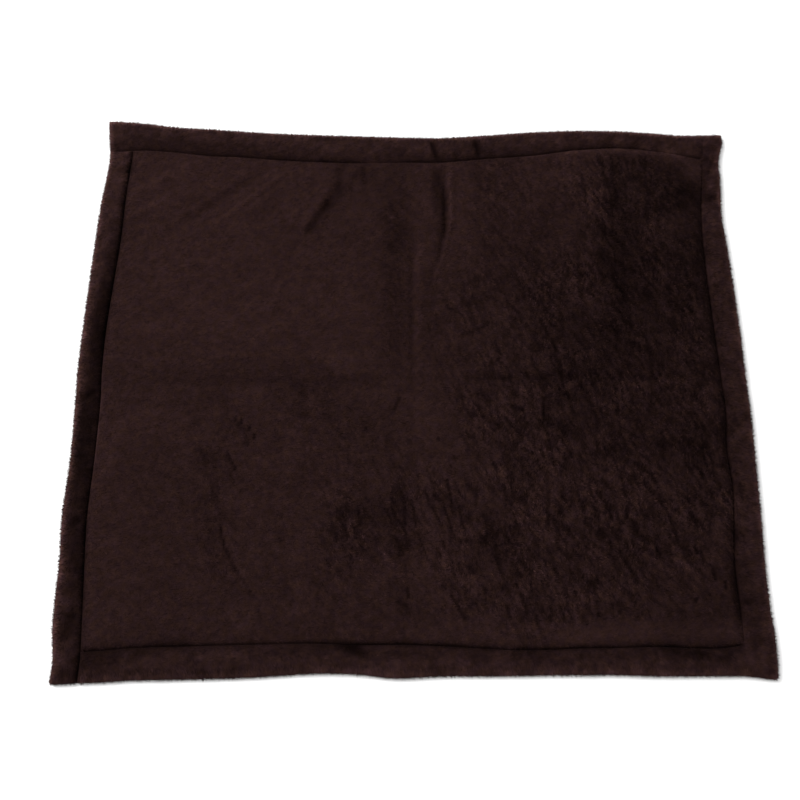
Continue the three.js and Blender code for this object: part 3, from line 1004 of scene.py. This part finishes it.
def mesh_object(name, points, faces, sizes, attributes, smooth=True):
    """A mesh from arrays. sizes holds each face's number of corners."""
    mesh = bpy.data.meshes.new(name)
    mesh.vertices.add(len(points))
    mesh.vertices.foreach_set("co", np.asarray(points, np.float32).ravel())
    mesh.loops.add(len(faces))
    mesh.loops.foreach_set("vertex_index", np.asarray(faces, np.int32))
    starts = np.cumsum(sizes) - sizes
    mesh.polygons.add(len(sizes))
    mesh.polygons.foreach_set("loop_start", starts.astype(np.int32))
    mesh.polygons.foreach_set("use_smooth", np.full(len(sizes), smooth))
    for key, values in attributes.items():
        layer = mesh.attributes.new(key, "FLOAT", "POINT")
        layer.data.foreach_set("value", np.asarray(values, np.float32))
    mesh.update(calc_edges=True)
    made = bpy.data.objects.new(name, mesh)
    bpy.context.collection.objects.link(made)
    return made


def build_cloth():
    """The padded cloth as one closed mesh: the upper face, the turned-under edge and the
    flat underside. Gives the object and its fields for the pile."""
    columns = grid_lines("x", SMOOTH_SPACING, RUFFLED_SPACING, RUFFLES_START)
    rows = grid_lines("y", ROW_SPACING, ROW_SPACING, 0)
    p, q = np.meshgrid(columns, rows)
    top, fields = mat_surface(p.ravel(), q.ravel())
    index = np.arange(p.size).reshape(p.shape)
    corners = [index[:-1, :-1], index[:-1, 1:], index[1:, 1:], index[1:, :-1]]
    quads = [np.stack(corners, axis=-1).reshape(-1, 4)]
    rim_index = np.concatenate([index[0, :-1], index[:-1, -1], index[-1, :0:-1], index[:0:-1, 0]])
    rim = top[rim_index]
    points, ring = [top], rim_index
    for inset, height in UNDER_EDGE:
        shrink = [1 - inset / NOMINAL_EDGE["x"], 1 - inset / NOMINAL_EDGE["y"], 0]
        following = np.arange(len(rim)) + sum(len(part) for part in points)
        quads.append(np.stack([following, np.roll(following, -1), np.roll(ring, -1), ring], axis=-1))
        points.append(rim * shrink + [0, 0, height])
        ring = following
    for key, values in fields.items():
        fields[key] = np.concatenate([values] + [values[rim_index]] * len(UNDER_EDGE))
    points = np.concatenate(points)
    points[:, :2] -= TABLES_MIDDLE
    quads = np.concatenate(quads)
    faces = np.concatenate([quads.ravel(), ring[::-1]])
    sizes = [4] * len(quads) + [len(ring)]
    return mesh_object("plush_mat", points, faces, sizes, {"light": fields["light"]}), fields


def mesh_arrays(made):
    """A mesh's points, their normals and the corners of its triangles."""
    mesh = made.data
    mesh.calc_loop_triangles()

    def threes(items, key, kind):
        values = np.empty(len(items) * 3, kind)
        items.foreach_get(key, values)
        return values.reshape(-1, 3)

    points = threes(mesh.vertices, "co", np.float32).astype(float)
    normals = threes(mesh.vertex_normals, "vector", np.float32).astype(float)
    return points, normals, threes(mesh.loop_triangles, "vertices", np.int32)


def unit(vectors):
    return vectors / np.maximum(np.linalg.norm(vectors, axis=-1, keepdims=True), 1e-12)


def spread_roots(points, corners, count):
    """Evenly spread places on the given triangles, as weights of the corners."""
    a, b, c = points[corners.T]
    steps = np.cumsum(np.linalg.norm(np.cross(b - a, c - a), axis=1))
    picks = np.searchsorted(steps, (np.arange(count) + RANDOM.random(count)) / count * steps[-1])
    u, v = RANDOM.random((2, count))
    u, v = np.where(u + v > 1, [1 - u, 1 - v], [u, v])
    return corners[picks], np.stack([1 - u - v, u, v], axis=1)


def mix_kinds(key, ruffled, rim):
    """A size for each tuft, mixed from the three kinds."""
    smooth, rough, outer = TUFT_SIZES[key]
    laid = smooth + (rough - smooth) * ruffled
    return laid + (outer - laid) * rim


def grow_tufts(name, points, normals, fields, corners, count):
    """Short pointed tufts over the given triangles, joined in one mesh."""
    chosen, weights = spread_roots(points, corners, count)
    root = np.einsum("nk,nkd->nd", weights, points[chosen])
    normal = unit(np.einsum("nk,nkd->nd", weights, normals[chosen]))
    at_root = {key: np.einsum("nk,nk->n", weights, values[chosen]) for key, values in fields.items()}
    x, y, _ = root.T
    ruffled, turned, _, _ = pile_lie(x, y)
    rim = 1 - smooth_step(at_root["edge"], *RIM_FADE)

    def own_size(key):
        return (mix_kinds(key, ruffled, rim) * RANDOM.uniform(*TUFT_RANGES[key], count))[:, None]

    angle = turned + mottle(x, y, "lie") + ruffled * CLUMP_ANGLE + SMOOTH_ANGLE
    angle = angle + RANDOM.normal(0, 1, count) * mix_kinds("spread", ruffled, rim)
    combed_way = np.stack([np.cos(angle), np.sin(angle), np.zeros(count)], axis=1)
    outward = np.stack([at_root["out_x"], at_root["out_y"], np.zeros(count)], axis=1)
    outwards = np.clip(np.linalg.norm(outward, axis=1, keepdims=True) * OUTWARD_GAIN, 0, 1)
    lean = combed_way * (1 - OUTWARD_LEAN * outwards) + unit(outward) * outwards
    lean = unit(lean - np.sum(lean * normal, axis=1, keepdims=True) * normal)
    side = np.cross(normal, lean)

    rise = np.radians(own_size("rise"))
    reach = own_size("length")
    width = own_size("half_width")
    start = root - TUFT_ROOT * normal
    ridge = start + TUFT_RIDGE * width * normal + 0.5 * TUFT_ROOT * normal
    tip = start + reach * (np.cos(rise) * lean + np.sin(rise) * normal) + TUFT_ROOT * normal
    tufts = np.stack([start - width * side, start + width * side, ridge, tip], axis=1)
    tufts = tufts.reshape(-1, 3)
    tufts[:, 2] = np.maximum(tufts[:, 2], LOWEST_TUFT)
    faces = (np.arange(count)[:, None] * 4 + TUFT_FACES).ravel()
    middle = (root + tip) / 2
    stops = at_root["broad"] + pile_lie(*middle[:, :2].T)[3]
    uneven = TUFT_UNEVENNESS + RUFFLED_UNEVENNESS * ruffled
    light = np.exp2(stops + RANDOM.normal(0, 1, count) * uneven) / BRIGHTEST_SHARE
    attributes = {"light": np.repeat(light, 4), "at_tip": np.tile(TUFT_AT_TIP, count)}
    return mesh_object(name, tufts, faces, np.full(count * 4, 3), attributes, smooth=False)


def build_pile(cloth, fields):
    """Tufts on every face but the flat underside and the stitch lines, in one mesh for each
    quarter that the fold lines part."""
    points, normals, corners = mesh_arrays(cloth)
    showing = points[corners][:, :, 2].max(axis=1) > LOWEST_TUFT
    showing &= fields["line"][corners].mean(axis=1) < BARE_SEAM
    middles = points[corners].mean(axis=1)
    right, back, _ = middles.T >= 0
    quarters = {
        "pile_back_left": back & ~right,
        "pile_back_right": back & right,
        "pile_front_left": ~back & ~right,
        "pile_front_right": ~back & right,
    }
    return [
        grow_tufts(name, points, normals, fields, corners[showing & chosen], TUFTS_PER_PIECE)
        for name, chosen in quarters.items()
    ]


def fill(tree, socket, value):
    """Gives an input a value, or links it to another node's output."""
    if isinstance(value, bpy.types.NodeSocket):
        tree.links.new(value, socket)
    else:
        socket.default_value = value


def add_node(tree, kind, **settings):
    """A shader node. Settings that name an input fill it, and others are properties."""
    node = tree.nodes.new(kind)
    for key, value in settings.items():
        socket = node.inputs.get(key)
        if socket is None:
            setattr(node, key, value)
        else:
            fill(tree, socket, value)
    return node


def start_material(name, gloss):
    """A material whose shader has the given values on its sockets."""
    material = bpy.data.materials.new(name)
    material.use_nodes = True
    tree = material.node_tree
    shader = tree.nodes["Principled BSDF"]
    for key, value in gloss.items():
        shader.inputs[key].default_value = value
    return material, tree, shader


def math_node(tree, operation, first, second):
    node = add_node(tree, "ShaderNodeMath", operation=operation)
    fill(tree, node.inputs[0], first)
    fill(tree, node.inputs[1], second)
    return node.outputs[0]


def attribute(tree, name):
    return add_node(tree, "ShaderNodeAttribute", attribute_name=name).outputs["Fac"]


def stretched_noise(tree, scale, detail):
    """Noise in the object's own space, with a scale for each axis."""
    place = add_node(tree, "ShaderNodeTexCoord").outputs["Object"]
    mapped = add_node(tree, "ShaderNodeMapping", Vector=place, Scale=scale).outputs["Vector"]
    return add_node(tree, "ShaderNodeTexNoise", Vector=mapped, Scale=1, Detail=detail).outputs["Fac"]


def varied(tree, factor, source, low, high):
    """The factor times a value from low to high, as the source goes from 0 to 1."""
    span = math_node(tree, "MULTIPLY", source, high - low)
    return math_node(tree, "MULTIPLY", factor, math_node(tree, "ADD", span, low))


def colour_ramp(tree, source, ends):
    ramp = add_node(tree, "ShaderNodeValToRGB", Fac=source)
    for stop, (place, colour) in zip(ramp.color_ramp.elements, ends):
        stop.position = place
        stop.color = colour
    return ramp.outputs["Color"]


def plush_look(tree, shader, light, heights, strength, distance):
    """Brown by the light, tinted in patches of about a centimetre, with small bumps."""
    patches = stretched_noise(tree, scale=(170, 170, 170), detail=1)
    tinted = add_node(tree, "ShaderNodeMix", data_type="RGBA", blend_type="MULTIPLY")
    tinted.inputs["Factor"].default_value = 1
    fill(tree, tinted.inputs[MIX_SOCKETS["first"]], colour_ramp(tree, light, PLUSH_BROWNS))
    fill(tree, tinted.inputs[MIX_SOCKETS["second"]], colour_ramp(tree, patches, PLUSH_TINTS))
    fill(tree, shader.inputs["Base Color"], tinted.outputs[MIX_SOCKETS["mixed"]])
    bump = add_node(tree, "ShaderNodeBump", Height=heights, Strength=strength, Distance=distance)
    fill(tree, shader.inputs["Normal"], bump.outputs["Normal"])


def plush_material():
    """The cloth under the tufts: brown plush with a combed grain."""
    material, tree, shader = start_material("plush_ground", PLUSH_GLOSS)
    grain = stretched_noise(tree, scale=(260, 700, 500), detail=4)
    specks = stretched_noise(tree, scale=(1500, 1500, 1500), detail=2)
    light = varied(tree, attribute(tree, "light"), grain, low=0.65, high=1.25)
    light = varied(tree, light, specks, low=0.8, high=1.2)
    heights = math_node(tree, "ADD", grain, specks)
    plush_look(tree, shader, light, heights, strength=0.5, distance=0.0006)
    return material


def pile_material():
    """The tufts: darker at the root, lighter at the tip, each a little different."""
    material, tree, shader = start_material("plush_pile", PLUSH_GLOSS)
    patches = stretched_noise(tree, scale=(60, 110, 60), detail=3)
    light = varied(tree, attribute(tree, "light"), attribute(tree, "at_tip"), low=0.85, high=1.15)
    light = varied(tree, light, patches, low=0.85, high=1.15)
    grain = stretched_noise(tree, scale=(900, 2400, 900), detail=1)
    plush_look(tree, shader, light, grain, strength=0.3, distance=0.0003)
    return material


def floor_material():
    material, tree, shader = start_material("pale_floor", FLOOR_GLOSS)
    patches = stretched_noise(tree, scale=(3, 3, 3), detail=2)
    fill(tree, shader.inputs["Base Color"], colour_ramp(tree, patches, FLOOR_GREYS))
    return material


def build_floor():
    half = FLOOR_SIZE / 2
    points = [(-half, -half, 0), (half, -half, 0), (half, half, 0), (-half, half, 0)]
    floor = mesh_object("floor", points, [0, 1, 2, 3], [4], {}, smooth=False)
    floor.location.z = -FLOOR_DROP
    floor.data.materials.append(floor_material())


def put(name, data, place, target):
    """An object at a place, facing a target."""
    made = bpy.data.objects.new(name, data)
    bpy.context.collection.objects.link(made)
    made.location = place
    made.rotation_euler = (Vector(target) - made.location).to_track_quat("-Z", "Y").to_euler()
    return made


def build_camera():
    data = bpy.data.cameras.new("camera")
    data.sensor_width = SENSOR_WIDTH_MM
    data.lens = SENSOR_WIDTH_MM * FOCAL_LENGTH_PX / PHOTO_WIDTH_PX
    data.clip_start = 0.05
    away = Vector((0, -math.cos(CAMERA_ELEVATION), math.sin(CAMERA_ELEVATION)))
    place = Vector(CAMERA_TARGET) + CAMERA_DISTANCE * away
    bpy.context.scene.camera = put("camera", data, place, CAMERA_TARGET)


def build_light():
    """One soft key light from the left and behind, in an even pale surround."""
    key = bpy.data.lights.new("key_light", "AREA")
    key.shape = "DISK"
    key.size = 2
    key.energy = 100
    put("key_light", key, place=(-1.7, 0.65, 2.15), target=(0, 0, 0))
    world = bpy.data.worlds.new("surround")
    world.use_nodes = True
    surround = world.node_tree.nodes["Background"]
    surround.inputs["Color"].default_value = (1, 1, 1, 1)
    surround.inputs["Strength"].default_value = 0.9
    scene = bpy.context.scene
    scene.world = world
    scene.view_settings.view_transform = "Standard"
    scene.view_settings.look = "None"


def dress(piece, material):
    piece.data.materials.append(material)
    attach(piece, "root")


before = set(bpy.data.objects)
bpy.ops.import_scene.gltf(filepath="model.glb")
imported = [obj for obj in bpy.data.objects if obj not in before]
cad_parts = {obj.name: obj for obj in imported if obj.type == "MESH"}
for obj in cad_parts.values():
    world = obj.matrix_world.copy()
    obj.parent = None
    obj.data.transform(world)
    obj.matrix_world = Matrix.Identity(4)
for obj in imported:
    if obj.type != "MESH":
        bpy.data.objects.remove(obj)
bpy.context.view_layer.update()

build_camera()
build_floor()
build_light()

mat, mat_fields = build_cloth()
dress(mat, plush_material())
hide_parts("mat")

pile = pile_material()
for quarter in build_pile(mat, mat_fields):
    dress(quarter, pile)
